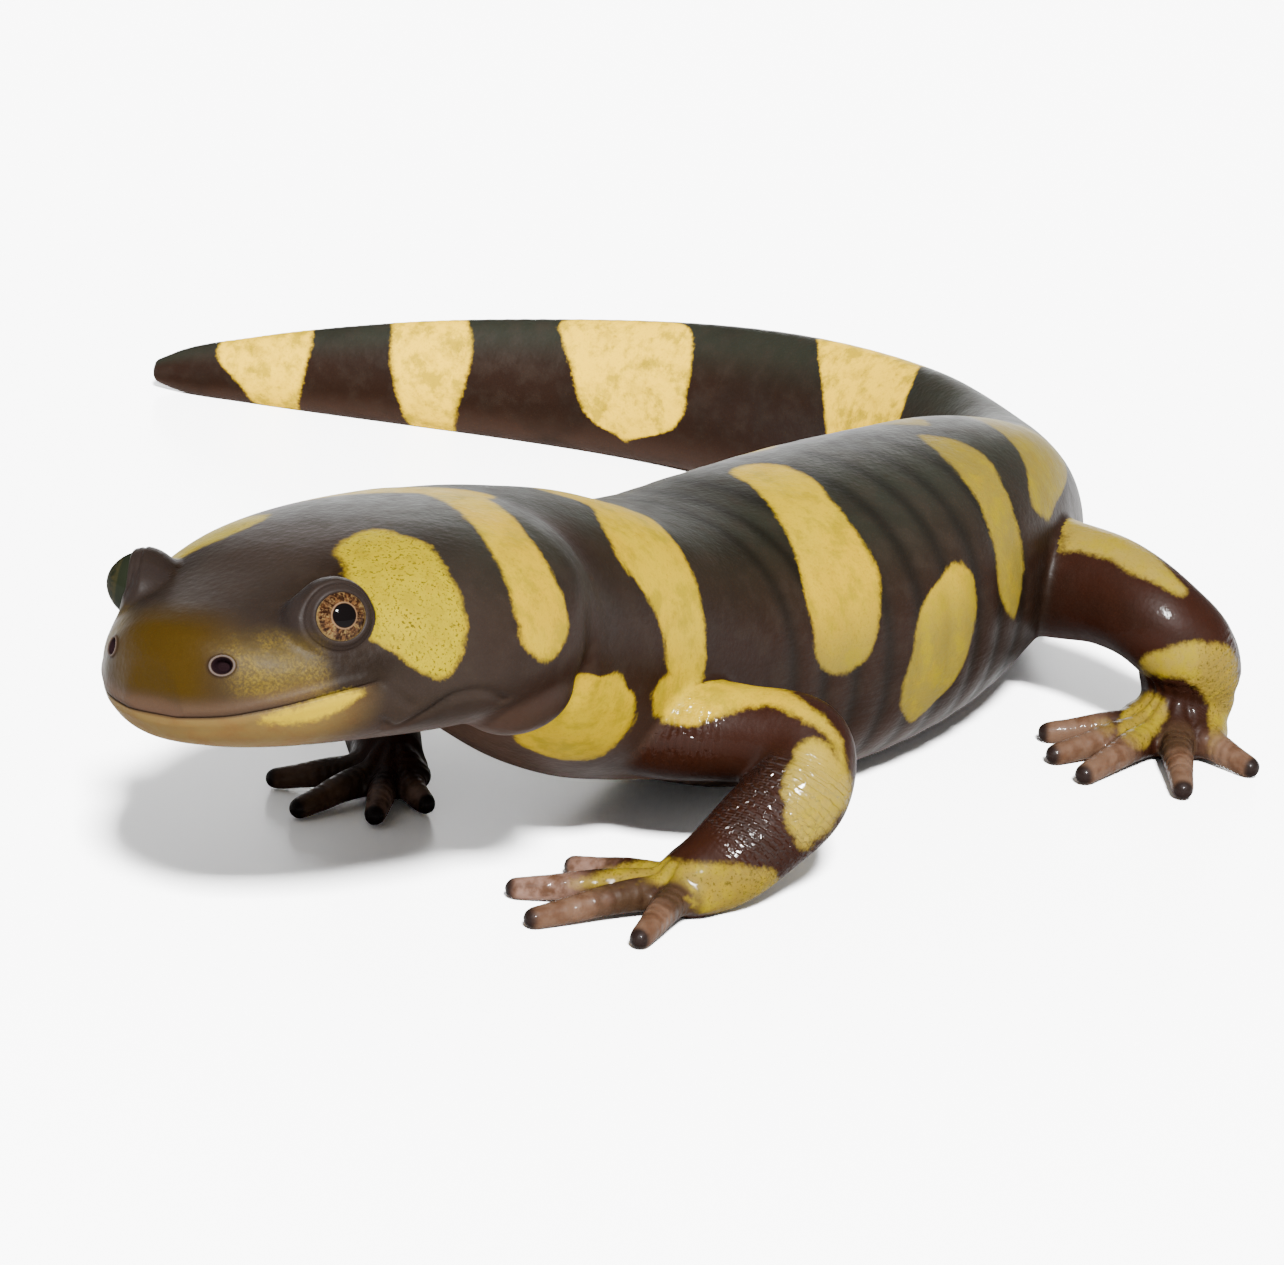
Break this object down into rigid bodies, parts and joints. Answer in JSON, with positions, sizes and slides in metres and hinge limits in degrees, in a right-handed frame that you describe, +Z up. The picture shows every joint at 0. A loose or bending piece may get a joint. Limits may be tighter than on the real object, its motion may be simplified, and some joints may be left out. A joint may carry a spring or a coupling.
{
  "type": "barred tiger salamander model",
  "caption": "Life-size tiger salamander standing with its head raised, limbs spread and tall tail curled round behind, resting on its belly, feet and tail.",
  "frame": {"origin": "middle of the outline box on the floor", "axes": "+Z up from the floor, the head points along -Y, the animal's left side faces +X"},
  "size_m": [0.124, 0.1232, 0.0271],
  "materials": {
    "skin": "moist gloss, dark with yellow bars",
    "eye": "polished"
  },
  "bodies": {
    "root": {"eye_left": "eye", "eye_right": "eye", "foot_left": "skin", "foot_right": "skin", "forearm_left": "skin", "forearm_right": "skin", "hand_left": "skin", "hand_right": "skin", "head": "skin", "lower_jaw": "skin", "neck": "skin", "shank_left": "skin", "shank_right": "skin", "tail_1": "skin", "tail_2": "skin", "tail_3": "skin", "tail_4": "skin", "tail_5": "skin", "thigh_left": "skin", "thigh_right": "skin", "torso_front": "skin", "torso_middle": "skin", "torso_rear": "skin", "upper_arm_left": "skin", "upper_arm_right": "skin"}
  },
  "joints": []
}
